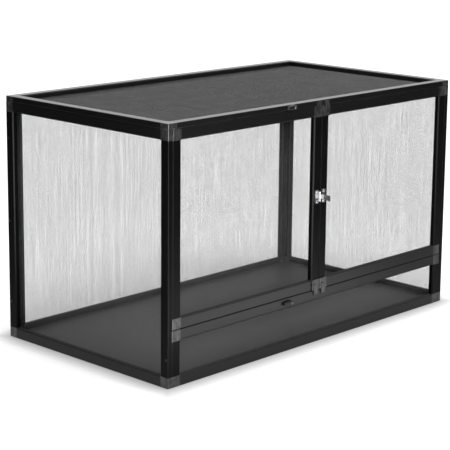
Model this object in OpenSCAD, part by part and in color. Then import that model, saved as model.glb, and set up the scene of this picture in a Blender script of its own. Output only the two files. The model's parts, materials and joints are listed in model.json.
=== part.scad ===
// Screened reptile terrarium. Seven framed mesh panels stand round a solid
// floor board: two sides, a rear, a lower front, a top and two front doors.
// Each frame is four hollow rails on four plug-in corner keys, with the mesh
// tucked into a groove and held there by a round spline. The doors turn on
// short pins set in the corner keys and meet at a hasp. Two turn buttons on
// the fixed frames hold the left door. +Z is up and -Y is the front.

/* [Enclosure] */
// Overall width, left to right
enclosure_w = 1020; // [800:5:1300]
// Overall depth, front to rear
enclosure_d = 560; // [400:5:700]
// Overall height
enclosure_h = 600; // [450:5:750]
// Height of the fixed front panel below the doors
lower_panel_h = 132; // [115:1:180]
// Thickness of the floor board
floor_t = 11; // [8:0.5:16]
// Gap between panels that are screwed together
panel_gap = 0.2; // [0.1:0.1:0.6]

/* [Frame rail] */
// Face width of a rail
rail_w = 25.4; // [24:0.2:30]
// Thickness of a rail, and so of a whole panel
rail_t = 12.7; // [12:0.1:15]
// Wall of the hollow rail
rail_wall = 1.2; // [0.9:0.1:1.5]
// Rounding along the rail's outer edge
rail_edge_r = 1.2; // [0.5:0.1:2]
// Bevel along the rail's inner edge
rail_bevel = 2.5; // [1:0.1:3]
// Lip between the spline groove and the rail's inner edge
lip_w = 4.5; // [3.5:0.1:5]
// Depth of the spline groove
groove_h = 5; // [4.2:0.1:6]

/* [Mesh and spline] */
// Thickness of the mesh
mesh_t = 0.6; // [0.4:0.1:0.8]
// Size of one opening of the grid that stands for the woven mesh
mesh_cell = 80; // [80:1:100]
// Width of the bars of that grid
mesh_bar_w = 5; // [3:0.5:8]
// Length of mesh tucked into the groove
mesh_tuck = 3; // [2:0.1:4]
// Diameter of the spline
spline_d = 3.2; // [2.8:0.1:3.6]
// Depth of the spline below the rail's inner face
spline_sink = 0.3; // [0.1:0.1:0.5]

/* [Corner key] */
// Length of a key's arm inside the rail
key_arm_l = 20; // [14:1:24]
// Taper at the tip of an arm
key_tip = 3; // [1:0.5:5]
// Depth of the relief along each arm
key_relief = 2.2; // [1:0.1:3]
// Rounding of a key's outer corner
key_corner_r = 2; // [0.5:0.5:4]
// Clearance of an arm inside the rail
key_fit = 0.15; // [0.05:0.05:0.3]

/* [Doors] */
// Gap between a door and the side panel
door_gap_side = 1.5; // [1.2:0.1:3]
// Gap above and below a door
door_gap_end = 1.5; // [1:0.1:3]
// Gap between the two doors
door_gap_mid = 2; // [1.5:0.1:4]
// Radius of a pivot pin
pivot_r = 1.5; // [1:0.1:2]
// Distance of the pivot from the door's outer edge
pivot_inset = 7; // [6:0.1:8]
// Distance of the pivot behind the door's front face
pivot_setback = 4; // [3.5:0.1:5]
// Length of a pivot pin inside each of its two keys
pivot_seat = 8; // [6:0.5:9]
// Running clearance between a pin and a door's key
pivot_run = 0.05; // [0.03:0.01:0.08]

/* [Door stops] */
// Reach of a stop tongue past the door's edge
stop_reach = 12; // [9:0.5:13]
// Height of the stop's pad above the door's face
stop_t = 2.8; // [2:0.1:4]
// Clearance between a tongue and the frame behind it
stop_clear = 0.4; // [0.3:0.1:0.8]
// Distance of the stop's slot from the left edge of its key
stop_slot_x = 5.6; // [4:0.1:7]
// Width of the stop's slot
stop_slot_w = 2.2; // [1.5:0.1:3]
// Length of the slot's upright leg
stop_slot_h = 15; // [10:0.5:18]
// Width of the tongue
stop_tongue_w = 14; // [10:0.5:15]

/* [Hasp] */
// Height of the hasp's centre
hasp_z = 365; // [300:1:400]
// Height of both plates
hasp_plate_h = 34; // [32:0.5:40]
// Thickness of the sheet metal
hasp_t = 1.2; // [1:0.1:1.5]
// Width of the plate that carries the lever
hinge_plate_w = 14.5; // [14:0.5:18]
// Width of the plate that carries the staple
catch_plate_w = 14.5; // [14:0.5:18]
// Distance between the two screws of a plate
hasp_screw_pitch = 24; // [23.5:0.5:28]
// Radius of the hinge pin
hasp_pin_r = 1; // [0.8:0.1:1.2]
// Outer radius of the knuckles
knuckle_r = 2.2; // [2:0.1:2.4]
// Height of the lever's knuckle
lever_knuckle_h = 10; // [9:0.5:11]
// Height of each knuckle of the plate
plate_knuckle_h = 6; // [5:0.5:7]
// Length of the lever from its pin
lever_l = 34; // [30:0.5:38]
// Height of the lever's blade
lever_h = 13; // [12.5:0.5:15.5]
// Inner radius of the curl at the lever's end
lever_curl_r = 3; // [2:0.1:4]
// Height of the finger lip beyond the curl
lever_lip = 3; // [2:0.5:5]
// Radius of the staple's wire
staple_r = 1.1; // [1:0.1:1.3]
// Distance between the staple's legs
staple_pitch = 5; // [4.5:0.1:5.5]
// Height of the staple above the door's face
staple_top = 9; // [8:0.1:9.5]
// Distance of the staple from the middle of the doorway
staple_x = 11; // [10:0.1:12]
// Distance of the hinge plate's screws from the hinge pin
hinge_screw_inset = 9.4; // [9:0.1:11]
// Gap between the lever and the plates that it lies over
lever_clear = 0.6; // [0.5:0.1:1]
// Play of the staple in the lever's slot, up and down
lever_slot_play = 0.8; // [0.6:0.1:1]
// Play of the staple in the lever's slot, in the lever's swing
lever_slot_swing = 0.7; // [0.5:0.1:1]

/* [Turn buttons] */
// Distance of both buttons to the left of the middle
button_x = 105; // [60:1:200]
// Thickness of a button
button_t = 8; // [6:0.5:10]
// Radius of the boss round the screw
button_boss_r = 6; // [5:0.1:6.2]
// Radius of the wing's tip
button_tip_r = 4; // [3:0.1:5]
// Distance from the screw to the centre of the tip
button_l = 20; // [17:0.5:24]
// Clearance between a button and the frame
button_clear = 0.5; // [0.3:0.1:1]

/* [Screws] */
// Radius of the shank of a button's screw
button_screw_r = 2; // [1.8:0.1:2.4]
// Radius of the shank of a hasp screw
hasp_screw_r = 1.45; // [1.2:0.05:1.6]
// Radius of a hasp screw's head
hasp_head_r = 3.8; // [3.4:0.1:4]
// Height of a hasp screw's head
hasp_head_h = 2.3; // [1.8:0.1:2.6]
// Radius of the shank of an assembly screw
wall_screw_r = 1.7; // [1.5:0.1:2]
// Length of an assembly screw
wall_screw_l = 22; // [20:0.5:24]
// Distance of the end assembly screws from the panel's ends
wall_screw_end = 90; // [70:1:120]

/* [Hidden] */
$fn = 48;

// Finishes
rail_black = "#1a1a1b";
key_black = "#343435";
mesh_black = "#3a3a3b";
floor_grey = "#4b4b4d";
bright_steel = "#c9cacc";

// Overlap of joined or cut shapes, and clearance of parts pressed together
over = 1;
slip = 0.05;

// Rail section, measured from the rail's outer edge
groove_w = spline_d + mesh_t + 3 * slip;
groove_u = rail_w - lip_w - groove_w;
chamber_end = groove_u - rail_wall;

// Sides of a panel, counted anticlockwise from the bottom as seen from outside
BOTTOM = 0;
RIGHT = 1;
TOP = 2;
LEFT = 3;

// Panel sizes
wall_h = enclosure_h - rail_t;
between_sides = enclosure_w - 2 * rail_t;
front_w = between_sides - 2 * panel_gap;
door_w = (between_sides - 2 * door_gap_side - door_gap_mid) / 2;
door_z = lower_panel_h + door_gap_end;
door_h = wall_h - door_gap_end - door_z;
door_x = (door_w + door_gap_mid) / 2;
front_y = -enclosure_d / 2;

// Pivots of the doors
pivot_x = between_sides / 2 - door_gap_side - pivot_inset;
pivot_y = front_y + pivot_setback;

// Assembly screws: [y, z] on the side panels, and [x, y] on the top panel
edge_mid = rail_t / 2;
rear_screws = [for (z = [wall_screw_end, wall_h / 2, wall_h - wall_screw_end])
    [enclosure_d / 2 - edge_mid, z]];
front_screws = [[front_y + edge_mid, lower_panel_h / 2]];
floor_screws = [for (s = [-1, 1]) [s * (enclosure_d / 2 - wall_screw_end), floor_t / 2]];
top_screw_y = enclosure_d / 2 - wall_screw_end;
screw_cone_h = 2;
screw_hole_fit = 0.1;

// Most openings that a mesh's grid has either way
mesh_cells_most = 12;

// Hasp
knuckle_inset = 0.2;
knuckle_lift = 0.4;
hasp_pin_x = -door_gap_mid / 2 - knuckle_r - knuckle_inset;
hasp_pin_f = knuckle_r + knuckle_lift;
knuckle_wall = knuckle_r - hasp_pin_r;
hinge_screw_x = hasp_pin_x - hinge_screw_inset;
catch_screw_x = staple_x;
catch_plate_x = staple_x - catch_plate_w / 2;
knuckle_gap = 0.3;
blade_f = hasp_t + lever_clear;
staple_arm = staple_x - hasp_pin_x;
lever_slot_h = staple_pitch + 2 * (staple_r + lever_slot_play);
lever_slot_in = staple_arm - staple_r - lever_slot_swing;
lever_slot_out = norm([staple_arm + staple_r, staple_top - hasp_pin_f]) + lever_slot_swing;
lever_neck = 4;
hasp_screw_l = 9;

// Turn buttons
button_bottom_z = lower_panel_h - rail_w / 2;
button_top_z = enclosure_h - edge_mid;
button_run = 0.06;
button_head_r = button_screw_r * 1.8;
button_head_h = 2.2;

// ---- frame rail ----------------------------------------------------------

// Outline of a rail or key: a bar with its two outer edges rounded
module bar_outline() {
    translate([rail_edge_r, 0]) square([rail_w - rail_edge_r, rail_t]);
    translate([0, rail_edge_r]) square([2 * rail_edge_r, rail_t - 2 * rail_edge_r]);
    for (v = [rail_edge_r, rail_t - rail_edge_r])
        translate([rail_edge_r, v]) circle(rail_edge_r);
}

// Section of a rail: x runs from its outer to its inner edge, y from its
// inner to its outer face
module rail_section() {
    bevel_x = rail_w - rail_bevel;
    difference() {
        bar_outline();
        polygon([[bevel_x - over, rail_t + over], [rail_w + over, rail_t - rail_bevel - over],
                 [rail_w + over, rail_t + over]]);
        translate([rail_wall, rail_wall])
            square([chamber_end - rail_wall, rail_t - 2 * rail_wall]);
        translate([rail_wall, groove_h + rail_wall])
            square([bevel_x - 2 * rail_wall, rail_t - groove_h - 2 * rail_wall]);
        translate([groove_u, -over]) square([groove_w, groove_h + over]);
        translate([groove_u, -over]) square([rail_w, mesh_t + slip + over]);
    }
}

// Rail along +X from the origin, its outer edge on the X axis
module rail(length) {
    rotate([90, 0, 90]) linear_extrude(length) rail_section();
}

// Moves a shape from the origin to a corner of a panel that spans
// -w/2..w/2 by 0..h, with +X running along the side that follows
module at_corner(w, h, corner) {
    on_right = corner == RIGHT || corner == TOP;
    on_top = corner == TOP || corner == LEFT;
    translate([on_right ? w / 2 : -w / 2, on_top ? h : 0, 0])
        rotate([0, 0, 90 * corner]) children();
}

module panel_rail(w, h, side) {
    length = (side % 2 == 0 ? w : h) - 2 * rail_w;
    color(rail_black) at_corner(w, h, side) translate([rail_w, 0, 0]) rail(length);
}

// ---- corner key ----------------------------------------------------------

// Arm that plugs into a rail's chamber, with a tapered tip and a relief
// sunk into both faces
module key_arm() {
    low = rail_wall + key_fit;
    high = chamber_end - key_fit;
    tip_x = rail_w + key_arm_l;
    thick = rail_t - 2 * low;
    rib = (high - low) / 4;
    difference() {
        translate([0, 0, low]) linear_extrude(thick)
            polygon([[rail_w / 2, low], [tip_x - key_tip, low], [tip_x, low + key_tip],
                     [tip_x, high - key_tip], [tip_x - key_tip, high], [rail_w / 2, high]]);
        for (z = [low - over, rail_t - low - key_relief])
            translate([rail_w + rib, low + rib, z])
                cube([key_arm_l - 2 * rib - key_tip, high - low - 2 * rib, key_relief + over]);
    }
}

module key_block() {
    intersection() {
        rotate([90, 0, 90]) linear_extrude(rail_w) bar_outline();
        translate([0, rail_w, 0]) rotate([90, 0, 0]) linear_extrude(rail_w) bar_outline();
        linear_extrude(rail_t) difference() {
            square(rail_w);
            difference() {
                translate([-over, -over]) square(key_corner_r + over);
                translate([key_corner_r, key_corner_r]) circle(key_corner_r);
            }
        }
    }
}

// Corner key with its outer corner at the origin and its arms along +X, +Y
module corner_key() {
    difference() {
        union() {
            key_block();
            key_arm();
            mirror([1, -1, 0]) key_arm();
        }
        translate([groove_u, groove_u, -over]) {
            cube([rail_w, groove_w, groove_h + over]);
            cube([groove_w, rail_w, groove_h + over]);
            cube([rail_w, rail_w, mesh_t + slip + over]);
        }
    }
}

// Pad and tongue of a door stop on a key of the door's lower edge. The
// origin is the key's lower left corner. An L-shaped slot frees the tongue,
// so that it can spring.
module door_stop() {
    tongue_x = stop_slot_x + stop_slot_w;
    foot_h = stop_slot_h / 2;
    difference() {
        union() {
            translate([0, 0, rail_t - over]) cube([rail_w, rail_w, stop_t + over]);
            translate([tongue_x, -stop_reach, rail_t + stop_clear])
                cube([stop_tongue_w, stop_reach + foot_h, stop_t - stop_clear]);
        }
        translate([stop_slot_x, -over, rail_t]) {
            cube([stop_slot_w, stop_slot_h + over, stop_t + over]);
            translate([0, stop_slot_h + over - stop_slot_w, 0])
                cube([stop_tongue_w * 0.6, stop_slot_w, stop_t + over]);
        }
    }
}

// ---- mesh and spline -----------------------------------------------------

// Plain grid for the mesh, with its edges turned up into the groove
module panel_mesh(w, h) {
    inset = rail_w - lip_w - slip - mesh_t;
    inner = [w - 2 * inset - 2 * mesh_t, h - 2 * inset - 2 * mesh_t, mesh_tuck];
    color(mesh_black) difference() {
        translate([inset - w / 2, inset, 0]) difference() {
            cube([w - 2 * inset, h - 2 * inset, mesh_tuck]);
            translate([mesh_t, mesh_t, mesh_t]) cube(inner);
        }
        mesh_openings(w - 2 * rail_w, h - 2 * rail_w);
    }
}

// Openings of the grid, evenly shared out between the rails' inner edges
module mesh_openings(open_w, open_h) {
    count = [for (span = [open_w, open_h]) max(1, min(mesh_cells_most, round(span / mesh_cell)))];
    pitch = [open_w / count[0], open_h / count[1]];
    for (i = [0 : count[0] - 1], j = [0 : count[1] - 1])
        translate([i * pitch[0] - (open_w - mesh_bar_w) / 2,
                   rail_w + j * pitch[1] + mesh_bar_w / 2, -mesh_t])
            cube([pitch[0] - mesh_bar_w, pitch[1] - mesh_bar_w, 3 * mesh_t]);
}

// Round cord pressed into the groove all the way round a panel
module panel_spline(w, h) {
    r = spline_d / 2;
    inset = groove_u + slip + r;
    for (side = [BOTTOM : LEFT])
        color(rail_black) at_corner(w, h, side) translate([inset, inset, spline_sink + r]) {
            sphere(r);
            rotate([0, 90, 0]) cylinder(r = r, h = (side % 2 == 0 ? w : h) - 2 * inset);
        }
}

module panel_keys(w, h) {
    for (corner = [BOTTOM : LEFT])
        color(key_black) at_corner(w, h, corner) corner_key();
}

// ---- places of the panels ------------------------------------------------
// A panel is drawn flat, with its inner face down and its outer face up.

module at_left_side() {
    translate([rail_t - enclosure_w / 2, 0, 0]) rotate([90, 0, -90]) children();
}
module at_right_side() {
    translate([enclosure_w / 2 - rail_t, 0, 0]) rotate([90, 0, 90]) children();
}
module at_rear() {
    translate([0, enclosure_d / 2 - rail_t, 0]) rotate([90, 0, 180]) children();
}
module at_front(x, z) {
    translate([x, front_y + rail_t, z]) rotate([90, 0, 0]) children();
}
module at_top() {
    translate([0, front_y, enclosure_h - rail_t]) children();
}
module at_lower_front() {
    at_front(0, 0) children();
}
module at_left_door() {
    at_front(-door_x, door_z) children();
}
module at_right_door() {
    at_front(door_x, door_z) children();
}

// Stands a shape on the front face, its +Z pointing forward
module on_front(x, z) {
    translate([x, front_y, z]) rotate([90, 0, 0]) children();
}

// ---- screws --------------------------------------------------------------

// Countersunk screw along -Z with its head flush with z = 0
module wall_screw(extra = 0) {
    head_r = wall_screw_r * 2;
    translate([0, 0, -wall_screw_l - extra])
        cylinder(r = wall_screw_r + extra, h = wall_screw_l + 2 * extra);
    translate([0, 0, -screw_cone_h])
        cylinder(r1 = wall_screw_r + extra, r2 = head_r + extra, h = screw_cone_h + extra / 2);
}

module in_side(side, points) {
    for (p = points)
        translate([side * enclosure_w / 2, p[0], p[1]]) rotate([0, side * 90, 0]) children();
}

module in_top(side) {
    for (s = [-1, 1])
        translate([side * (enclosure_w / 2 - edge_mid), s * top_screw_y, enclosure_h]) children();
}

module wall_screw_hole() {
    wall_screw(screw_hole_fit);
}

// Pan-head screw with its seat at z = 0 and its shank along -Z
module pan_screw(shank_r, length, head_r, head_h) {
    ball_r = (head_r * head_r + head_h * head_h) / (2 * head_h);
    translate([0, 0, -length]) cylinder(r = shank_r, h = length + head_h / 2);
    intersection() {
        translate([0, 0, head_h - ball_r]) sphere(ball_r);
        cylinder(r = head_r, h = head_h);
    }
}

// ---- fixed panels --------------------------------------------------------

module left_side_bottom_rail() {
    color(rail_black) difference() {
        at_left_side() panel_rail(enclosure_d, wall_h, BOTTOM);
        in_side(-1, floor_screws) wall_screw_hole();
    }
}
module left_side_top_rail() {
    color(rail_black) difference() {
        at_left_side() panel_rail(enclosure_d, wall_h, TOP);
        in_top(-1) wall_screw_hole();
    }
}
module left_side_front_stile() {
    color(rail_black) difference() {
        at_left_side() panel_rail(enclosure_d, wall_h, RIGHT);
        in_side(-1, front_screws) wall_screw_hole();
    }
}
module left_side_rear_stile() {
    color(rail_black) difference() {
        at_left_side() panel_rail(enclosure_d, wall_h, LEFT);
        in_side(-1, rear_screws) wall_screw_hole();
    }
}
module left_side_corner_keys() {
    at_left_side() panel_keys(enclosure_d, wall_h);
}
module left_side_mesh() {
    at_left_side() panel_mesh(enclosure_d, wall_h);
}

module right_side_bottom_rail() {
    color(rail_black) difference() {
        at_right_side() panel_rail(enclosure_d, wall_h, BOTTOM);
        in_side(1, floor_screws) wall_screw_hole();
    }
}
module right_side_top_rail() {
    color(rail_black) difference() {
        at_right_side() panel_rail(enclosure_d, wall_h, TOP);
        in_top(1) wall_screw_hole();
    }
}
module right_side_front_stile() {
    color(rail_black) difference() {
        at_right_side() panel_rail(enclosure_d, wall_h, LEFT);
        in_side(1, front_screws) wall_screw_hole();
    }
}
module right_side_rear_stile() {
    color(rail_black) difference() {
        at_right_side() panel_rail(enclosure_d, wall_h, RIGHT);
        in_side(1, rear_screws) wall_screw_hole();
    }
}
module right_side_corner_keys() {
    at_right_side() panel_keys(enclosure_d, wall_h);
}
module right_side_mesh() {
    at_right_side() panel_mesh(enclosure_d, wall_h);
}

module rear_bottom_rail() {
    at_rear() panel_rail(front_w, wall_h, BOTTOM);
}
module rear_top_rail() {
    at_rear() panel_rail(front_w, wall_h, TOP);
}
module rear_left_stile() {
    color(rail_black) difference() {
        at_rear() panel_rail(front_w, wall_h, RIGHT);
        in_side(-1, rear_screws) wall_screw_hole();
    }
}
module rear_right_stile() {
    color(rail_black) difference() {
        at_rear() panel_rail(front_w, wall_h, LEFT);
        in_side(1, rear_screws) wall_screw_hole();
    }
}
module rear_corner_keys() {
    at_rear() panel_keys(front_w, wall_h);
}
module rear_mesh() {
    at_rear() panel_mesh(front_w, wall_h);
}

module lower_front_bottom_rail() {
    at_lower_front() panel_rail(front_w, lower_panel_h, BOTTOM);
}
module lower_front_top_rail() {
    color(rail_black) difference() {
        at_lower_front() panel_rail(front_w, lower_panel_h, TOP);
        on_front(-button_x, button_bottom_z) button_screw_hole();
    }
}
module lower_front_left_stile() {
    color(rail_black) difference() {
        at_lower_front() panel_rail(front_w, lower_panel_h, LEFT);
        in_side(-1, front_screws) wall_screw_hole();
    }
}
module lower_front_right_stile() {
    color(rail_black) difference() {
        at_lower_front() panel_rail(front_w, lower_panel_h, RIGHT);
        in_side(1, front_screws) wall_screw_hole();
    }
}
module lower_front_corner_keys() {
    color(key_black) difference() {
        at_lower_front() panel_keys(front_w, lower_panel_h);
        for (side = [-1, 1]) pivot_pin(side, lower_panel_h, slip / 2);
    }
}
module lower_front_mesh() {
    at_lower_front() panel_mesh(front_w, lower_panel_h);
}

module top_front_rail() {
    color(rail_black) difference() {
        at_top() panel_rail(enclosure_w, enclosure_d, BOTTOM);
        on_front(-button_x, button_top_z) button_screw_hole();
    }
}
module top_rear_rail() {
    at_top() panel_rail(enclosure_w, enclosure_d, TOP);
}
module top_left_rail() {
    color(rail_black) difference() {
        at_top() panel_rail(enclosure_w, enclosure_d, LEFT);
        in_top(-1) wall_screw_hole();
    }
}
module top_right_rail() {
    color(rail_black) difference() {
        at_top() panel_rail(enclosure_w, enclosure_d, RIGHT);
        in_top(1) wall_screw_hole();
    }
}
module top_corner_keys() {
    color(key_black) difference() {
        at_top() panel_keys(enclosure_w, enclosure_d);
        for (side = [-1, 1]) pivot_pin(side, door_z + door_h, slip / 2);
    }
}
module top_mesh() {
    at_top() panel_mesh(enclosure_w, enclosure_d);
}

module fixed_panel_splines() {
    at_left_side() panel_spline(enclosure_d, wall_h);
    at_right_side() panel_spline(enclosure_d, wall_h);
    at_rear() panel_spline(front_w, wall_h);
    at_lower_front() panel_spline(front_w, lower_panel_h);
    at_top() panel_spline(enclosure_w, enclosure_d);
}

module floor_board() {
    board_w = between_sides - 2 * panel_gap;
    board_d = enclosure_d - 2 * rail_t - 2 * panel_gap;
    color(floor_grey) difference() {
        translate([-board_w / 2, -board_d / 2, 0]) cube([board_w, board_d, floor_t]);
        for (side = [-1, 1]) in_side(side, floor_screws) wall_screw_hole();
    }
}

module assembly_screws() {
    color(rail_black) for (side = [-1, 1]) {
        in_side(side, concat(rear_screws, front_screws, floor_screws)) wall_screw();
        in_top(side) wall_screw();
    }
}

// ---- doors ---------------------------------------------------------------

// Pivot pin across the gap that starts at height z, or its seats when extra
// is the clearance round it
module pivot_pin(side, z, extra = 0) {
    translate([side * pivot_x, pivot_y, z - pivot_seat - extra])
        cylinder(r = pivot_r + extra, h = 2 * (pivot_seat + extra) + door_gap_end);
}

module door_pivot_pins() {
    color(bright_steel) for (side = [-1, 1], z = [lower_panel_h, door_z + door_h])
        pivot_pin(side, z);
}

// Keys of a door hinged at its left (side -1) or right (side 1): two bored
// for the pivot pins and two with stops
module door_keys(side) {
    stop_x = side < 0 ? door_w / 2 - rail_w : -door_w / 2;
    color(key_black) {
        difference() {
            at_front(side * door_x, door_z) panel_keys(door_w, door_h);
            for (z = [lower_panel_h, door_z + door_h]) pivot_pin(side, z, pivot_run);
        }
        at_front(side * door_x, door_z) {
            translate([stop_x, 0, 0]) door_stop();
            translate([stop_x, door_h, 0]) mirror([0, 1, 0]) door_stop();
        }
    }
}

module left_door_bottom_rail() {
    at_left_door() panel_rail(door_w, door_h, BOTTOM);
}
module left_door_top_rail() {
    at_left_door() panel_rail(door_w, door_h, TOP);
}
module left_door_hinge_stile() {
    at_left_door() panel_rail(door_w, door_h, LEFT);
}
module left_door_latch_stile() {
    color(rail_black) difference() {
        at_left_door() panel_rail(door_w, door_h, RIGHT);
        hasp_screws_at(hinge_screw_x) hasp_screw_hole();
    }
}
module left_door_corner_keys() {
    door_keys(-1);
}
module left_door_mesh() {
    at_left_door() panel_mesh(door_w, door_h);
}
module left_door_spline() {
    at_left_door() panel_spline(door_w, door_h);
}

module right_door_bottom_rail() {
    at_right_door() panel_rail(door_w, door_h, BOTTOM);
}
module right_door_top_rail() {
    at_right_door() panel_rail(door_w, door_h, TOP);
}
module right_door_hinge_stile() {
    at_right_door() panel_rail(door_w, door_h, RIGHT);
}
module right_door_latch_stile() {
    color(rail_black) difference() {
        at_right_door() panel_rail(door_w, door_h, LEFT);
        hasp_screws_at(catch_screw_x) hasp_screw_hole();
    }
}
module right_door_corner_keys() {
    door_keys(1);
}
module right_door_mesh() {
    at_right_door() panel_mesh(door_w, door_h);
}
module right_door_spline() {
    at_right_door() panel_spline(door_w, door_h);
}

// ---- hasp ----------------------------------------------------------------
// Drawn on the front face: x across, y up from the hasp's centre, z forward.

module at_hasp() {
    on_front(0, hasp_z) children();
}

module hasp_screws_at(x) {
    for (s = [-1, 1])
        on_front(x, hasp_z + s * hasp_screw_pitch / 2) children();
}

module hasp_screw() {
    translate([0, 0, hasp_t]) pan_screw(hasp_screw_r, hasp_screw_l, hasp_head_r, hasp_head_h);
}

module hasp_screw_hole() {
    translate([0, 0, -hasp_screw_l]) cylinder(r = hasp_screw_r + screw_hole_fit, h = 2 * hasp_screw_l);
}

// Plate with rounded corners from x0, lying on the door
module hasp_plate(x0, w) {
    r = 3;
    translate([x0, -hasp_plate_h / 2, 0]) linear_extrude(hasp_t) {
        translate([r, 0]) square([w - 2 * r, hasp_plate_h]);
        translate([0, r]) square([w, hasp_plate_h - 2 * r]);
        for (x = [r, w - r], y = [r, hasp_plate_h - r]) translate([x, y]) circle(r);
    }
}

module hasp_knuckle(y0, h, bore_r) {
    difference() {
        translate([hasp_pin_x, y0, hasp_pin_f]) rotate([-90, 0, 0]) cylinder(r = knuckle_r, h = h);
        hasp_bore(bore_r);
    }
}

module hasp_bore(bore_r) {
    translate([hasp_pin_x, -hasp_plate_h / 2, hasp_pin_f])
        rotate([-90, 0, 0]) cylinder(r = bore_r, h = hasp_plate_h);
}

module hasp_hinge_plate() {
    web_w = knuckle_r;
    first = lever_knuckle_h / 2 + knuckle_gap;
    color(bright_steel) difference() {
        at_hasp() {
            hasp_plate(hasp_pin_x - knuckle_r - hinge_plate_w, hinge_plate_w);
            for (s = [0, 1]) mirror([0, s, 0]) {
                hasp_knuckle(first, plate_knuckle_h, hasp_pin_r + slip / 2);
                translate([hasp_pin_x - knuckle_r - web_w, first, 0])
                    cube([web_w + over, plate_knuckle_h, hasp_t]);
                translate([hasp_pin_x - knuckle_r, first, 0])
                    cube([knuckle_wall - slip, plate_knuckle_h, hasp_pin_f]);
            }
        }
        hasp_screws_at(hinge_screw_x) hasp_screw_hole();
    }
}

module hasp_hinge_screws() {
    color(bright_steel) hasp_screws_at(hinge_screw_x) hasp_screw();
}

module hasp_pin() {
    reach = lever_knuckle_h / 2 + knuckle_gap + plate_knuckle_h;
    cap_h = 0.8;
    color(bright_steel) at_hasp() translate([hasp_pin_x, 0, hasp_pin_f]) rotate([-90, 0, 0]) {
        translate([0, 0, -reach - cap_h]) cylinder(r = hasp_pin_r, h = 2 * (reach + cap_h));
        for (z = [-reach - cap_h, reach + slip])
            translate([0, 0, z]) cylinder(r = hasp_pin_r * 1.5, h = cap_h - slip);
    }
}

// Finger curl: the blade's sheet bent up through a quarter circle, and a lip
module lever_curl(tip_x, width) {
    bend_x = tip_x - lever_curl_r - hasp_t;
    bend_f = blade_f + hasp_t + lever_curl_r;
    translate([bend_x, width / 2, bend_f]) rotate([90, 0, 0]) rotate([0, 0, -90])
        rotate_extrude(angle = 90) translate([lever_curl_r, 0]) square([hasp_t, width]);
    translate([tip_x - hasp_t, -width / 2, bend_f]) cube([hasp_t, width, lever_lip]);
}

// The lever as it lies when it is closed over the staple
module closed_lever() {
    neck_h = lever_knuckle_h;
    tip_x = hasp_pin_x + lever_l;
    blade_end = tip_x - lever_curl_r - hasp_t;
    shoulder_r = 3;
    difference() {
        union() {
            hasp_knuckle(-lever_knuckle_h / 2, lever_knuckle_h, hasp_pin_r + slip);
            translate([hasp_pin_x, -neck_h / 2, blade_f]) cube([lever_neck + over, neck_h, hasp_t]);
            translate([hasp_pin_x + lever_neck, 0, blade_f]) linear_extrude(hasp_t) {
                translate([shoulder_r, -lever_h / 2])
                    square([blade_end - hasp_pin_x - lever_neck - shoulder_r, lever_h]);
                translate([0, shoulder_r - lever_h / 2])
                    square([2 * shoulder_r, lever_h - 2 * shoulder_r]);
                for (s = [-1, 1])
                    translate([shoulder_r, s * (lever_h / 2 - shoulder_r)]) circle(shoulder_r);
            }
            lever_curl(tip_x, lever_h);
        }
        hasp_bore(hasp_pin_r + slip);
        translate([hasp_pin_x + lever_slot_in, -lever_slot_h / 2, 0])
            cube([lever_slot_out - lever_slot_in, lever_slot_h, staple_top]);
    }
}

// The lever stands straight out, clear of the swing of both doors
module hasp_lever() {
    color(bright_steel) at_hasp()
        translate([hasp_pin_x, 0, hasp_pin_f]) rotate([0, -90, 0])
            translate([-hasp_pin_x, 0, -hasp_pin_f]) closed_lever();
}

// Plate with a wire staple that the lever's slot drops over
module hasp_catch_plate() {
    bend_r = staple_pitch / 2;
    leg_top = staple_top - bend_r - staple_r;
    color(bright_steel) difference() {
        at_hasp() {
            hasp_plate(catch_plate_x, catch_plate_w);
            for (s = [-1, 1])
                translate([staple_x, s * bend_r, 0]) cylinder(r = staple_r, h = leg_top);
            translate([staple_x, 0, leg_top]) rotate([0, -90, 0]) rotate([0, 0, -90])
                rotate_extrude(angle = 180) translate([bend_r, 0]) circle(staple_r);
        }
        hasp_screws_at(catch_screw_x) hasp_screw_hole();
    }
}

module hasp_catch_screws() {
    color(bright_steel) hasp_screws_at(catch_screw_x) hasp_screw();
}

// ---- turn buttons --------------------------------------------------------

module button_screw_hole() {
    translate([0, 0, -rail_t / 2]) cylinder(r = button_screw_r + screw_hole_fit, h = rail_t);
}

// Button with its screw at the origin and its wing along -X. The wing's
// edges are the straight lines that run just inside both the boss and the tip.
module turn_button() {
    a = acos((button_boss_r - button_tip_r) / button_l);
    boss = (button_boss_r - slip) * [cos(a), sin(a)];
    tip = (button_tip_r - slip) * [cos(a), sin(a)];
    color(key_black) difference() {
        translate([0, 0, button_clear]) mirror([1, 0, 0]) {
            cylinder(r = button_boss_r, h = button_t);
            translate([button_l, 0, 0]) cylinder(r = button_tip_r, h = button_t);
            linear_extrude(button_t)
                polygon([boss, [button_l, 0] + tip, [button_l + tip[0], -tip[1]],
                         [boss[0], -boss[1]]]);
        }
        cylinder(r = button_screw_r + button_run, h = button_clear + button_t + over);
    }
}

module turn_button_top() {
    on_front(-button_x, button_top_z) turn_button();
}
module turn_button_bottom() {
    on_front(-button_x, button_bottom_z) turn_button();
}

module turn_button_screws() {
    length = button_clear + button_t + rail_t / 2 - rail_wall;
    color(bright_steel) for (z = [button_top_z, button_bottom_z])
        on_front(-button_x, z) translate([0, 0, button_clear + button_t + slip])
            pan_screw(button_screw_r, length, button_head_r, button_head_h);
}

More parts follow.
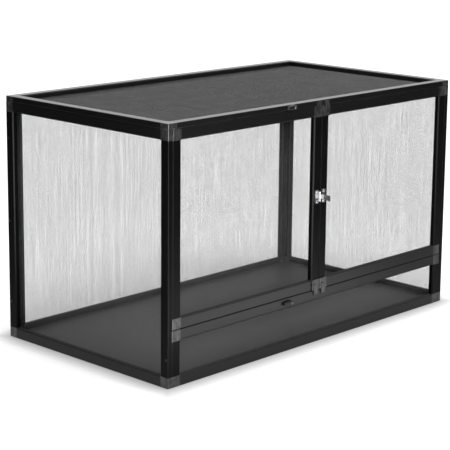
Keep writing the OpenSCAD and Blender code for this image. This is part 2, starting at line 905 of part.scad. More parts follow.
left_side_bottom_rail();
left_side_top_rail();
left_side_front_stile();
left_side_rear_stile();
left_side_corner_keys();
left_side_mesh();
right_side_bottom_rail();
right_side_top_rail();
right_side_front_stile();
right_side_rear_stile();
right_side_corner_keys();
right_side_mesh();
rear_bottom_rail();
rear_top_rail();
rear_left_stile();
rear_right_stile();
rear_corner_keys();
rear_mesh();
lower_front_bottom_rail();
lower_front_top_rail();
lower_front_left_stile();
lower_front_right_stile();
lower_front_corner_keys();
lower_front_mesh();
top_front_rail();
top_rear_rail();
top_left_rail();
top_right_rail();
top_corner_keys();
top_mesh();
fixed_panel_splines();
floor_board();
assembly_screws();
door_pivot_pins();
left_door_bottom_rail();
left_door_top_rail();
left_door_hinge_stile();
left_door_latch_stile();
left_door_corner_keys();
left_door_mesh();
left_door_spline();
right_door_bottom_rail();
right_door_top_rail();
right_door_hinge_stile();
right_door_latch_stile();
right_door_corner_keys();
right_door_mesh();
right_door_spline();
hasp_hinge_plate();
hasp_hinge_screws();
hasp_pin();
hasp_lever();
hasp_catch_plate();
hasp_catch_screws();
turn_button_top();
turn_button_bottom();
turn_button_screws();
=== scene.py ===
"""Screened reptile terrarium: woven screens, screw heads, turn buttons and finishes.

Each operator makes one group of pieces round the fixed frame, and the stage
operator sets the floor, the light and the camera. All lengths are in metres.
"""

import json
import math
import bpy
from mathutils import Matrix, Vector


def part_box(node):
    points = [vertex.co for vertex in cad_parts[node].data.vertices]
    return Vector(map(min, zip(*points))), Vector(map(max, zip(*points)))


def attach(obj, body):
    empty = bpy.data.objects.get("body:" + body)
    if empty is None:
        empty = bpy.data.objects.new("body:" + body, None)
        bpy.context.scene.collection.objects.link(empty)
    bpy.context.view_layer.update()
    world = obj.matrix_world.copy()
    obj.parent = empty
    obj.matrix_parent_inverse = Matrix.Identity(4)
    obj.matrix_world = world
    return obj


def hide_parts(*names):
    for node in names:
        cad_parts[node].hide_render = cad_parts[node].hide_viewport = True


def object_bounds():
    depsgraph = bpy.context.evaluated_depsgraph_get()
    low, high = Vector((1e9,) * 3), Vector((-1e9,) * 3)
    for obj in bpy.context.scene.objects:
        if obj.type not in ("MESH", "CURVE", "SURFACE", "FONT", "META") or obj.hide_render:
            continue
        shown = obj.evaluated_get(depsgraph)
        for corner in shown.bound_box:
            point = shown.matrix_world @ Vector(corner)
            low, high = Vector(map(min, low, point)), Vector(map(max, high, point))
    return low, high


bl_info = {
    "name": "Screened Terrarium",
    "version": (1, 0, 0),
    "blender": (4, 5, 0),
    "location": "View3D > Sidebar > Terrarium",
    "description": "Makes the screens, fastenings and finishes of a framed mesh terrarium",
    "category": "Object",
}

import bpy
import numpy as np
from bpy.props import FloatProperty, FloatVectorProperty, IntProperty, PointerProperty
from mathutils import Euler, Matrix, Vector

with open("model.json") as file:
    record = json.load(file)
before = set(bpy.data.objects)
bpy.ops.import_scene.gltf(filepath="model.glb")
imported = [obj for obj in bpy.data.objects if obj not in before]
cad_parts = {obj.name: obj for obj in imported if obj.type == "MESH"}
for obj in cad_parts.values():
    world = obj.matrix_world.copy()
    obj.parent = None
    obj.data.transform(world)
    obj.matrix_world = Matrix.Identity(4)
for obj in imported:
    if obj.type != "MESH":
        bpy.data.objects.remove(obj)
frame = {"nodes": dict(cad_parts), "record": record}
CAD_BOX = [list(map(float, corner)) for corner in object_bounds()]
HALF_WIDTH, HALF_DEPTH, HEIGHT = (round(edge, 6) for edge in CAD_BOX[1])
MM = 0.001
TAU = 2 * math.pi

SCREENS = ("left_side", "right_side", "rear", "lower_front", "top", "left_door", "right_door")
DOORS = ("left_door", "right_door")
# Smooth pieces keep an edge where their faces meet at more than this angle
SHARP_ANGLE = math.radians(38)

# Sizes of the frame that the woven screens and the assembly screws follow:
# the sheet and its hem, a rail, the floor board, the lower front panel, and
# the distance of the outer screws from the ends of the walls
SHEET_T = 0.6 * MM
HEM_W = 0.45 * MM
RAIL_T = 12.7 * MM
FLOOR_T = 11 * MM
LOWER_PANEL_H = 132 * MM
SCREW_END = 90 * MM

# Scales along a rail of its die lines and up a corner key of its streaks,
# which draw the patterns out, and the streaks' share of the key's pattern
DIE_LINE_SCALE = 0.0006
STREAK_SCALE = 0.1
STREAK_SHARE = 0.6

# Dust lies on faces that look up more than this, up to this height, and
# adds this much roughness
DUST_SLOPE = 0.4
DUST_TOP = 0.55
DUST_ROUGHNESS = 0.5

# Brightness of the sweep behind everything and of the backdrop in the room
SWEEP_LIGHT = 1.26
BACKDROP_LIGHT = 1.5
# Direction of the backdrop, and the one that the ceiling's light leans to
BACKDROP_AIM = (0.73, 0.68, 0.0)
CEILING_LEAN = (-0.05, -0.3, 0.95)
# Brightness of the ceiling, from opposite that direction (0) to along it (1)
CEILING_LIGHT = ((0.0, 0.04), (0.5, 0.04), (0.8, 0.08), (0.9, 0.32), (0.95, 3.4), (1.0, 4.0))

# Reflectance of the paper near the object and far out, the radii between
# which it turns into a glow, and how softly the floor's lit part ends
PAPER_ALBEDO = 0.94
FAR_ALBEDO = 0.006
PAPER_FADE = (0.68, 1.5)
LIT_FADE = 0.3
# Painted shadow on the floor: light left in the paper's colour against the base,
# and how far past the footprint the painted shade reaches
BASE_SHADE = 0.45
SHADE_REACH = 55 * MM
# How far the floor lies below the object
FLOOR_DROP = 0.2 * MM

# Brightness of the painted reflection, a glow on the floor that only the object's gloss finds,
# by metres out from each side, and off the front left corner
FRONT_PAINTED_GLOW = ((0.0, 0.6), (0.18, 0.5), (0.28, 2.2), (0.46, 2.2), (0.58, 0.3), (0.8, 0.06),
               (1.1, 0.02), (3.0, 0.02))
RIGHT_PAINTED_GLOW = ((0.0, 0.6), (0.18, 0.5), (0.28, 0.42), (0.46, 0.4), (0.58, 0.12), (0.8, 0.04),
               (1.1, 0.02), (3.0, 0.02))
LEFT_PAINTED_GLOW = ((0.0, 0.45), (0.15, 0.4), (0.3, 0.16), (1.05, 0.14), (1.25, 0.0), (3.0, 0.0))
# Painted highlight patch off the front left corner, with no card or lamp there
CORNER_PAINTED_GLOW = 10.0
# Where along X the front's painted glow turns into the right one, and how soon past
# the footprint a side's painted glow is in full
BAND_FADE = (0.3, 0.72)
SIDE_FADE = 0.1

# Place and size of each softbox
STRIP_SOFTBOX = ((2.45, -2.75, -0.5), (1.0, 0.6))
LOW_SOFTBOX = ((-2.7, -2.9, -0.45), (4.0, 0.8))


# ---- meshes ---------------------------------------------------------------

def make_piece(name, points, faces, body, slot, node, finish, smooth=True):
    """Puts points and quads into a mesh that rides on a body in a CAD node's stead."""
    mesh = bpy.data.meshes.new(name)
    mesh.vertices.add(len(points))
    mesh.vertices.foreach_set("co", points.ravel())
    mesh.loops.add(faces.size)
    mesh.loops.foreach_set("vertex_index", faces.astype(np.int32).ravel())
    mesh.polygons.add(len(faces))
    mesh.polygons.foreach_set("loop_start", np.arange(0, faces.size, 4, dtype=np.int32))
    mesh.update(calc_edges=True)
    mesh.validate()
    if smooth:
        mesh.polygons.foreach_set("use_smooth", np.ones(len(mesh.polygons), dtype=bool))
        mesh.set_sharp_from_angle(angle=SHARP_ANGLE)
    mesh.materials.append(finish)
    piece = bpy.data.objects.new(name, mesh)
    bpy.context.scene.collection.objects.link(piece)
    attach(piece, body)
    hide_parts(node)


def ring_faces(rings, around):
    """Quads between neighbouring rings of a lofted shape whose rings close round."""
    i = np.arange(rings - 1)[:, None] * around
    j = np.arange(around)[None, :]
    k = (j + 1) % around
    quads = np.stack([i + j, i + k, i + around + k, i + around + j], axis=-1)
    return quads.reshape(-1, 4)


def lids(rings, around):
    """Quads that close the first and the last ring of a lofted shape.

    Each ring has an even number of corners, and the quads fan out from one."""
    k = 2 * np.arange(around // 2 - 1)
    fan = np.stack([np.zeros_like(k), k + 3, k + 2, k + 1], axis=-1)
    return np.concatenate([fan, fan[:, ::-1] + (rings - 1) * around])


def placing_at(origin, across, up, out):
    """Turn and origin that carry a shape drawn on the XY plane to a face of the object."""
    return np.array([across, up, out], dtype=float).T, np.array(origin, dtype=float)


def place(points, placing):
    """Points carried to a face of the object by a turn and an origin."""
    turn, origin = placing
    return points.reshape(-1, 3) @ turn.T + origin


# ---- woven screens --------------------------------------------------------

def wires(knots, side, out, half, sides=6):
    """A bundle of slightly wandering wires as closed tubes.

    Each wire is a regular polygon of radius half, in the plane of the unit
    vectors side and out, carried through the wire's own row of knots."""
    count, stations = knots.shape[:2]
    turn = (np.arange(sides) + 0.5) * TAU / sides
    rim = half * (np.cos(turn)[:, None] * side + np.sin(turn)[:, None] * out)
    points = knots[:, :, None, :] + rim
    base = (np.arange(count) * stations * sides)[:, None, None]
    one = np.concatenate([ring_faces(stations, sides), lids(stations, sides)])
    return points.reshape(-1, 3), (one + base).reshape(-1, 4)


def cuboid(low, high):
    """The points and the faces of a box between two opposite corners."""
    pick = np.array([[x, y, z] for x in (0, 1) for y in (0, 1) for z in (0, 1)])
    faces = np.array([[0, 2, 3, 1], [4, 5, 7, 6], [0, 1, 5, 4], [2, 6, 7, 3],
                      [0, 4, 6, 2], [1, 3, 7, 5]])
    return np.where(pick == 1, high, low), faces


def outward(points, faces):
    """Turns round every face of a closed bundle if its volume comes out negative."""
    a, b, c, d = (points[faces[:, i]] for i in range(4))
    volume = np.einsum("ij,ij->i", a, np.cross(b, c) + np.cross(c, d)).sum()
    return faces if volume > 0 else faces[:, ::-1]


def joined(bundles):
    """One bundle of points and faces out of several closed ones, faced outward."""
    first = np.cumsum([0] + [len(points) for points, _ in bundles[:-1]])
    faces = [outward(*bundle) + shift for bundle, shift in zip(bundles, first)]
    return np.concatenate([points for points, _ in bundles]), np.concatenate(faces)


def woven_screen(name, node, weave, thickness, body, seed, finish):
    """A screen of two crossing layers of wires in the plane of a CAD sheet.

    The wires run from edge to edge of the sheet at an even pitch, and each
    strays by a chance share of it at knots along its way. One layer lies
    pressed on the other. A folded hem runs round the edge, down into the
    spline groove, as deep as the CAD sheet's own hem."""
    low, high = (np.array(corner, dtype=float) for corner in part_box(node))
    size = high - low
    normal = int(np.argmin(size))
    across, up = [axis for axis in range(3) if axis != normal]
    centre = (low + high) / 2
    middle = HEIGHT / 2 if normal == 2 else 0.0
    inner, outward_sign = (low[normal], 1) if centre[normal] > middle else (high[normal], -1)
    chance = np.random.default_rng(seed)
    unit = np.eye(3)
    end_gap = 0.1 * MM
    layer_step = 0.85 * thickness
    bundles = []
    for layer, (along, over) in enumerate(((across, up), (up, across))):
        count = int(size[over] / weave.pitch) - 1
        stations = int(round(size[along] / weave.knot_gap)) + 1
        where = low[over] + (np.arange(count) + 1) * size[over] / (count + 1)
        stray = chance.uniform(-weave.unevenness, weave.unevenness, (count, stations))
        level = SHEET_T / 2 + (layer - 0.5) * layer_step
        knots = np.zeros((count, stations, 3))
        knots[:, :, normal] = inner + outward_sign * level
        knots[:, :, over] = where[:, None] + stray * weave.pitch
        knots[:, :, along] = np.linspace(low[along] + end_gap, high[along] - end_gap, stations)
        bundles.append(wires(knots, unit[over], unit[normal], thickness / 2))
    for along, over in ((across, up), (up, across)):
        for at_high in (False, True):
            hem_low, hem_high = low.copy(), high.copy()
            if at_high:
                hem_low[over] = high[over] - HEM_W
            else:
                hem_high[over] = low[over] + HEM_W
            if over == across:
                hem_low[along] += HEM_W
                hem_high[along] -= HEM_W
            bundles.append(cuboid(hem_low, hem_high))
    make_piece(name, *joined(bundles), body, "screen_mesh", node, finish, smooth=False)


# ---- screws ---------------------------------------------------------------

def cross_recess(x, y, reach, width, depth):
    """Depth of a cross-shaped drive recess at a point of a screw's head.

    It is the depth times a smooth step that falls off at the edges of two
    bars that cross, each as long as twice the reach."""
    def bar(a, b):
        """Share of the depth in one bar, with ramps at its ends and its sides."""
        edge_a = np.clip((reach - np.abs(a)) / (0.22 * reach), 0, 1)
        edge_b = np.clip((width - np.abs(b)) / (0.5 * width), 0, 1)
        return edge_a * edge_b
    mask = np.maximum(bar(x, y), bar(y, x))
    return depth * mask * mask * (3 - 2 * mask)


def screw(head_r, head_h, shank_r, length, around, rings=18, sunk=False):
    """A screw turned about +Z, with its seat at z = 0 and a cross recess in its head.

    The outline is carried round the axis: up the shank, out under the head and
    over the head. A sunk head is flat. The height of a pan head is 0.3 of the
    full one, plus 0.7 of it times the square root of what the radius's share
    of the head, to the power 2.6, leaves of one. The recess is taken off."""
    lead = 1.4 * shank_r
    shank = [(0.02 * shank_r, -length), (0.55 * shank_r, -length + 0.25 * lead),
             (shank_r, -length + lead), (shank_r, -head_h if sunk else 0.0)]
    inwards = np.linspace(1.0, 0.015, rings)
    if sunk:
        rim_share, recess_share = 0.995, 0.5
        under = [(head_r, 0.0)]
        crown = np.zeros(rings)
    else:
        rim_share, recess_share = 0.985, 0.62
        under = [(head_r * 0.97, 0.0), (head_r, 0.12 * head_h), (head_r, 0.22 * head_h)]
        rise = np.sqrt(np.clip(1 - (inwards * rim_share) ** 2.6, 0, 1))
        crown = head_h * (0.3 + 0.7 * rise)
    below = np.array(shank + under)
    r = np.concatenate([below[:, 0], inwards * head_r * rim_share])[:, None]
    turn = np.arange(around) * TAU / around
    x = r * np.cos(turn)
    y = r * np.sin(turn)
    z = np.repeat(np.concatenate([below[:, 1], crown])[:, None], around, axis=1)
    top = slice(len(below), None)
    z[top] -= cross_recess(x[top], y[top], 0.6 * head_r, 0.17 * head_r, recess_share * head_h)
    faces = np.concatenate([ring_faces(len(r), around), lids(len(r), around)])
    return np.stack([x, y, z], axis=-1).reshape(-1, 3), faces


def several(shape, placings):
    """One shape set down at several places, as one bundle of points and faces."""
    points, faces = shape
    shifts = np.arange(len(placings)) * len(points)
    return (np.concatenate([place(points, placing) for placing in placings]),
            (faces + shifts[:, None, None]).reshape(-1, 4))


def turned(placing, degrees):
    """A placing turned about its own outward axis, so that recesses don't line up."""
    turn, origin = placing
    a = math.radians(degrees)
    spin = np.array([[math.cos(a), -math.sin(a), 0], [math.sin(a), math.cos(a), 0], [0, 0, 1]])
    return turn @ spin, origin


def on_front(x, y, z):
    """Placing at a point of a face that looks to the front."""
    return placing_at((x, y, z), (1, 0, 0), (0, 0, 1), (0, -1, 0))


def on_side(side, x, y, z):
    """Placing at a point of the left (side -1) or right (side 1) face."""
    return placing_at((x, y, z), (0, side, 0), (0, 0, 1), (side, 0, 0))


def on_top(x, y, z):
    """Placing at a point of a face that looks up."""
    return placing_at((x, y, z), (1, 0, 0), (0, 1, 0), (0, 0, 1))


def screw_pair(node, body, head_h, shank_r, spin, around, finish):
    """Puts two pan-head screws, one above the other, in the place of a CAD node.

    Spin is the turn of the lower one and the step to the upper one's, in degrees."""
    low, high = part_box(node)
    head_r = (high[0] - low[0]) / 2
    x = (low[0] + high[0]) / 2
    seat = low[1] + head_h
    shape = screw(head_r, head_h, shank_r, high[1] - seat, around)
    spots = [turned(on_front(x, seat, z), spin[0] + spin[1] * i)
             for i, z in enumerate((low[2] + head_r, high[2] - head_r))]
    make_piece(node + "_turned", *several(shape, spots), body, "bright_steel", node, finish)


# ---- turn buttons ---------------------------------------------------------

def teardrop(boss_r, tip_r, reach, inset, steps=28):
    """Outline of a wing, drawn inwards by an inset.

    It is the outline of two circles and the straight lines that touch both.
    The arc of each runs between the angles at which those lines leave it, and
    an inset takes the same length off both radii."""
    lean = math.acos((boss_r - tip_r) / reach)
    boss = np.linspace(lean, TAU - lean, steps)
    tip = np.linspace(-lean, lean, steps // 2)
    x = np.concatenate([(boss_r - inset) * np.cos(boss), reach + (tip_r - inset) * np.cos(tip)])
    y = np.concatenate([(boss_r - inset) * np.sin(boss), (tip_r - inset) * np.sin(tip)])
    return x, y


def wing(boss_r, tip_r, reach, thick, crown, edge_r):
    """A moulded wing: a teardrop with rounded edges and a crowned face.

    The outline is carried up the edge and inwards over the face. The height
    follows a quarter circle at the edge and then rises slowly by the crown,
    and the wing thins a little from its boss to its tip."""
    quarter = np.linspace(0, math.pi / 2, 6)
    face_rings = 7
    foot = 0.4 * edge_r
    thinning = 0.16 * thick
    inset = np.concatenate([[foot, 0.0], edge_r * (1 - np.cos(quarter)),
                            np.linspace(1.3 * edge_r, 0.94 * tip_r, face_rings)])
    height = np.concatenate([[0.0, foot], thick - edge_r + edge_r * np.sin(quarter),
                             np.full(face_rings, thick)])
    rings = []
    for away, up in zip(inset, height):
        x, y = teardrop(boss_r, tip_r, reach, away)
        rise = crown * (1 - ((tip_r - min(away, tip_r)) / tip_r) ** 2) if up >= thick else 0.0
        fall = thinning * np.clip(x / (reach + tip_r), 0, 1) ** 1.5 * (up / thick)
        rings.append(np.stack([x, y, up + rise - fall], axis=-1))
    around = len(rings[0])
    faces = np.concatenate([ring_faces(len(rings), around), lids(len(rings), around)])
    return np.concatenate(rings), faces


# ---- finishes -------------------------------------------------------------

class Tree:
    """Short ways to add nodes to the node tree of a material or of the world.

    What goes into a node is either a constant or the output of another node."""

    def __init__(self, owner):
        owner.use_nodes = True
        self.nodes = owner.node_tree.nodes
        self.links = owner.node_tree.links

    def feed(self, node, inputs):
        """Feeds a node's inputs from a dictionary of their names or numbers."""
        for name, value in inputs.items():
            if isinstance(value, bpy.types.NodeSocket):
                self.links.new(value, node.inputs[name])
            else:
                node.inputs[name].default_value = value
        return node

    def add(self, kind, inputs):
        """Adds a shader node of a kind and feeds its inputs."""
        return self.feed(self.nodes.new("ShaderNode" + kind), inputs)

    def coordinates(self, space):
        """Place of the shaded point in metres (Object), or the ray's direction (Generated)."""
        return self.nodes.new("ShaderNodeTexCoord").outputs[space]

    def stretched(self, where, scale):
        """Coordinates scaled along each axis."""
        return self.add("Mapping", {"Vector": where, "Scale": scale}).outputs["Vector"]

    def part(self, vector, axis):
        """One coordinate of a vector."""
        return self.add("SeparateXYZ", {"Vector": vector}).outputs[axis]

    def compute(self, operation, *values):
        """Result of an operation on numbers."""
        node = self.add("Math", dict(enumerate(values)))
        node.operation = operation
        return node.outputs["Value"]

    def compute_vector(self, operation, *vectors):
        """Number that an operation makes of vectors."""
        node = self.add("VectorMath", dict(enumerate(vectors)))
        node.operation = operation
        return node.outputs["Value"]

    def spread(self, value, low, high, start=0.0, end=1.0, curve="LINEAR"):
        """Goes from low to high while a value goes from start to end, and no further."""
        node = self.add("MapRange", {"Value": value, "From Min": start, "From Max": end,
                                     "To Min": low, "To Max": high})
        node.interpolation_type = curve
        return node.outputs["Result"]

    def noise(self, where, scale, detail, roughness=0.5):
        """Fractal noise about 0.5, with its scale in cells per metre."""
        return self.add("TexNoise", {"Vector": where, "Scale": scale, "Detail": detail,
                                     "Roughness": roughness}).outputs["Fac"]

    def tone(self, value, start, end, dark, light):
        """Blends a dark colour into a light one while a value goes from start to end."""
        node = self.add("ValToRGB", {"Fac": value})
        for stop, position, colour in zip(node.color_ramp.elements, (start, end), (dark, light)):
            stop.position = position
            stop.color = (*colour, 1)
        return node.outputs["Color"]

    def levels(self, value, stops):
        """Brightness along stops of position and level, from position 0 to 1."""
        node = self.add("ValToRGB", {"Fac": value})
        ends = node.color_ramp.elements
        for position, level in stops:
            stop = ends[0] if position == 0 else ends[-1] if position == 1 else ends.new(position)
            stop.color = (level, level, level, 1)
        return node.outputs["Color"]

    def blend(self, share, first, second):
        """Blends a first number into a second one by a share."""
        return self.add("Mix", {"Factor": share, "A": first, "B": second}).outputs["Result"]

    def bump(self, height, strength, distance):
        """Normal over small bumps, whose height is given in metres by the distance."""
        return self.add("Bump", {"Height": height, "Strength": strength,
                                 "Distance": distance}).outputs["Normal"]

    def mix_shaders(self, share, first, second):
        """Blends a first shader into a second one by a share."""
        return self.add("MixShader", {"Fac": share, 1: first, 2: second}).outputs["Shader"]


def new_finish(name):
    """A new material with its tree, its shader and the coordinates of its patterns."""
    material = bpy.data.materials.new(name)
    tree = Tree(material)
    return material, tree, tree.nodes["Principled BSDF"], tree.coordinates("Object")


def shade(colour, factor):
    """A colour made darker or lighter by a factor."""
    return tuple(min(1.0, c * factor) for c in colour)


def dusty_ledge(tree, where, roughness):
    """Roughness that rises on the upward faces below the roof, where fine dust settles."""
    facing = tree.nodes.new("ShaderNodeNewGeometry").outputs["True Normal"]
    upward = tree.compute("GREATER_THAN", tree.part(facing, "Z"), DUST_SLOPE)
    below = tree.compute("LESS_THAN", tree.part(where, "Z"), DUST_TOP)
    dusty = tree.compute("MULTIPLY", upward, below)
    return tree.compute("MULTIPLY_ADD", dusty, DUST_ROUGHNESS, roughness)


def coated_rail(name, colour, axis):
    """Satin coated extrusion: gloss drawn out across the fine die lines along the rail.

    The coat on an upright rail is calmer than the one on a level rail."""
    material, tree, shader, where = new_finish(name)
    upright = axis == 2
    drawn = [1.0, 1.0, 1.0]
    drawn[axis] = DIE_LINE_SCALE
    lengthwise = tree.stretched(where, drawn)
    fine = tree.noise(lengthwise, scale=1500.0, detail=2.0)
    broad = tree.noise(lengthwise, scale=260.0, detail=2.0)
    cloud = tree.noise(where, scale=14.0, detail=3.0, roughness=0.6)
    gloss = tree.spread(broad, 0.3, 0.38 if upright else 0.4)
    round_the_rail = tree.nodes.new("ShaderNodeTangent")
    round_the_rail.direction_type = "RADIAL"
    round_the_rail.axis = "XYZ"[axis]
    tree.feed(shader, {
        "Base Color": tree.tone(cloud, 0.32, 0.7, shade(colour, 0.8), shade(colour, 1.3)),
        "Roughness": dusty_ledge(tree, where, gloss),
        "Normal": tree.bump(fine, strength=0.15, distance=0.2 * MM),
        "Tangent": round_the_rail.outputs["Tangent"],
        "Anisotropic": 0.0 if upright else 0.1,
        "IOR": 1.2 if upright else 1.52})
    return material


def moulded(name, colour, roughness, grain=900.0, strength=0.22):
    """Moulded plastic: an eroded grain, slight flow marks and uneven sheen."""
    material, tree, shader, where = new_finish(name)
    fine = tree.noise(where, scale=grain, detail=2.0)
    flow = tree.noise(where, scale=55.0, detail=4.0, roughness=0.6)
    tree.feed(shader, {
        "Base Color": tree.tone(flow, 0.3, 0.72, shade(colour, 0.86), shade(colour, 1.16)),
        "Roughness": tree.spread(flow, roughness - 0.07, roughness + 0.07),
        "Normal": tree.bump(fine, strength, distance=0.3 * MM)})
    return material


def streaked_key(name, colour):
    """Corner key plastic: drawn flow streaks up the block over uneven, rubbed mottling."""
    material, tree, shader, where = new_finish(name)
    streak = tree.noise(tree.stretched(where, (1.0, 1.0, STREAK_SCALE)), scale=300.0, detail=3.0,
                        roughness=0.6)
    mottle = tree.noise(where, scale=90.0, detail=4.0, roughness=0.65)
    both = tree.compute("MULTIPLY_ADD", mottle, 1 - STREAK_SHARE,
                    tree.compute("MULTIPLY", streak, STREAK_SHARE))
    tree.feed(shader, {
        "Base Color": tree.tone(both, 0.42, 0.6, shade(colour, 0.25), shade(colour, 1.9)),
        "Roughness": tree.spread(streak, 0.28, 0.46),
        "Normal": tree.bump(both, strength=0.4, distance=0.6 * MM),
        "IOR": 1.65})
    return material


def plated(name, colour, roughness):
    """Bright plated steel: rolled sheet marks under the plating, and clouded sheen."""
    material, tree, shader, where = new_finish(name)
    cloud = tree.noise(where, scale=160.0, detail=4.0, roughness=0.65)
    fine = tree.noise(where, scale=1300.0, detail=2.0)
    tree.feed(shader, {
        "Base Color": tree.tone(cloud, 0.25, 0.75, shade(colour, 0.8), shade(colour, 1.08)),
        "Roughness": tree.spread(cloud, roughness - 0.06, roughness + 0.14),
        "Normal": tree.bump(fine, strength=0.1, distance=0.2 * MM),
        "Metallic": 1.0})
    return material


def screen_wire(name, colour):
    """Coated wire: a dull skin with slight changes of tone along each wire."""
    material, tree, shader, where = new_finish(name)
    cloud = tree.noise(where, scale=30.0, detail=3.0, roughness=0.6)
    tree.feed(shader, {
        "Base Color": tree.tone(cloud, 0.3, 0.7, shade(colour, 0.85), shade(colour, 1.15)),
        "Roughness": tree.spread(cloud, 0.42, 0.56)})
    return material


def foam_board(name, colour):
    """Foam board: a smooth skin with a faint orange peel and soft mottling."""
    material, tree, shader, where = new_finish(name)
    cloud = tree.noise(where, scale=6.0, detail=5.0, roughness=0.62)
    peel = tree.noise(where, scale=420.0, detail=2.0)
    tree.feed(shader, {
        "Base Color": tree.tone(cloud, 0.3, 0.72, shade(colour, 0.88), shade(colour, 1.14)),
        "Roughness": tree.spread(cloud, 0.5, 0.66),
        "Normal": tree.bump(peel, strength=0.12, distance=0.5 * MM),
        "IOR": 1.3})
    return material


def dress(node, material):
    """Gives a carried-over CAD node its finish."""
    item = frame["nodes"][node]
    item.data.materials.clear()
    item.data.materials.append(material)


# ---- stage ----------------------------------------------------------------

def painted_base_shade(tree, where):
    """Painted shadow close round the base, as a factor on the paper's colour: the greater of the
    distances past the footprint's sides, up to its reach, carried from the shade to full light."""
    past_x, past_y = (tree.compute("SUBTRACT", tree.compute("ABSOLUTE", tree.part(where, axis)), half)
                      for axis, half in (("X", HALF_WIDTH), ("Y", HALF_DEPTH)))
    return tree.spread(tree.compute("MAXIMUM", past_x, past_y), BASE_SHADE, 1.0, 0.0, SHADE_REACH)


def painted_reflection_glow(tree, where):
    """Painted reflection: a glow on the floor that only glossy rays find, a bright band in front that
    fades to the right, a dimmer glow to the left, and a bright patch off the front left corner where
    no lamp or card stands."""
    x, y = (tree.part(where, axis) for axis in "XY")

    def level(place, edge, light):
        """Brightness of the painted glow along a coordinate, out from an edge of the footprint."""
        furthest = light[-1][0]
        out = tree.spread(place, 0.0, 1.0, edge, edge - furthest)
        return tree.levels(out, [(metres / furthest, value) for metres, value in light])

    past_front = tree.spread(y, 0.0, 1.0, -HALF_DEPTH, -HALF_DEPTH - SIDE_FADE)
    past_left = tree.spread(x, 0.0, 1.0, -HALF_WIDTH, -HALF_WIDTH - SIDE_FADE)
    ahead = tree.blend(tree.spread(x, 0.0, 1.0, *BAND_FADE),
                       level(y, -HALF_DEPTH, FRONT_PAINTED_GLOW), level(y, -HALF_DEPTH, RIGHT_PAINTED_GLOW))
    sides = tree.blend(past_front, level(x, -HALF_WIDTH, LEFT_PAINTED_GLOW), ahead)
    return tree.blend(tree.compute("MULTIPLY", past_front, past_left), sides, CORNER_PAINTED_GLOW)


def paper_finish(glow, lit_radius):
    """Pale matt paper round the object, which turns into an even glow further out.

    Light that bounces off the object finds the paper only near it, so that
    the dark surroundings of a studio still show in its gloss. Glossy rays find a
    painted reflection glow in place of the paper, and the paper carries a painted
    shadow round the base."""
    paper = bpy.data.materials.new("pale_paper")
    tree = Tree(paper)
    where = tree.coordinates("Object")
    radius = tree.compute_vector("LENGTH", where)
    albedo, emission = (tree.spread(radius, near, far, *PAPER_FADE, curve="SMOOTHERSTEP")
                        for near, far in ((PAPER_ALBEDO, FAR_ALBEDO), (glow, SWEEP_LIGHT)))
    found = tree.spread(radius, 1.0, 0.0, lit_radius - LIT_FADE, lit_radius)
    path = tree.nodes.new("ShaderNodeLightPath").outputs
    shader = tree.feed(tree.nodes["Principled BSDF"], {
        # Painted shadow: the paper's colour darkens close round the base
        "Base Color": tree.compute("MULTIPLY", albedo, painted_base_shade(tree, where)),
        "Roughness": 1.0,
        "Specular IOR Level": 0.0,
        "Emission Color": (1, 1, 1, 1),
        "Emission Strength": emission,
        "Alpha": tree.compute("MAXIMUM", found, path["Is Camera Ray"])})
    # Painted reflection: glossy rays see this uneven glow in place of the paper
    gloss = tree.add("Emission", {"Strength": painted_reflection_glow(tree, where)})
    surface = tree.mix_shaders(path["Is Glossy Ray"], shader.outputs["BSDF"],
                               gloss.outputs["Emission"])
    tree.feed(tree.nodes["Material Output"], {"Surface": surface})
    return paper


def studio_room():
    """A dim room with a bright ceiling and a white backdrop behind the object.

    The ceiling's brightness follows the angle from a direction that leans to
    the front, and the backdrop is the part above the floor that lies within a
    cone about the direction away from the camera."""
    world = bpy.data.worlds.new("studio_room")
    tree = Tree(world)
    tree.nodes.clear()
    direction = tree.coordinates("Generated")

    def leaning(towards, start, end, most=1.0):
        """Goes from 0 to most while the cosine of the angle to a direction goes
        from start to end."""
        cosine = tree.compute_vector("DOT_PRODUCT", direction, towards)
        return tree.spread(cosine, 0.0, most, start, end)

    above = leaning((0.0, 0.0, 1.0), -0.02, 0.05)
    ceiling = tree.levels(leaning(CEILING_LEAN, -1.0, 1.0), CEILING_LIGHT)
    backdrop = leaning(BACKDROP_AIM, 0.35, 0.75, BACKDROP_LIGHT)
    brightness = tree.compute("MAXIMUM", tree.compute("MULTIPLY", ceiling, above),
                          tree.compute("MULTIPLY", backdrop, above))
    room, sweep = (tree.add("Background", {"Color": (1, 1, 1, 1), "Strength": strength})
                   for strength in (brightness, SWEEP_LIGHT))
    path = tree.nodes.new("ShaderNodeLightPath").outputs
    surface = tree.mix_shaders(path["Is Camera Ray"], room.outputs["Background"],
                               sweep.outputs["Background"])
    tree.add("OutputWorld", {"Surface": surface})
    return world


def softbox(name, spot, size, power):
    """A rectangular area light that faces the middle of the object."""
    lamp = bpy.data.lights.new(name, "AREA")
    lamp.shape = "RECTANGLE"
    lamp.size, lamp.size_y = size
    lamp.energy = power
    box = bpy.data.objects.new(name, lamp)
    spot = Vector(spot)
    aim = (spot - Vector((0, 0, HEIGHT / 2))).to_track_quat("Z", "Y")
    box.matrix_world = Matrix.Translation(spot) @ aim.to_matrix().to_4x4()
    box.visible_camera = False
    return box


# ---- settings -------------------------------------------------------------

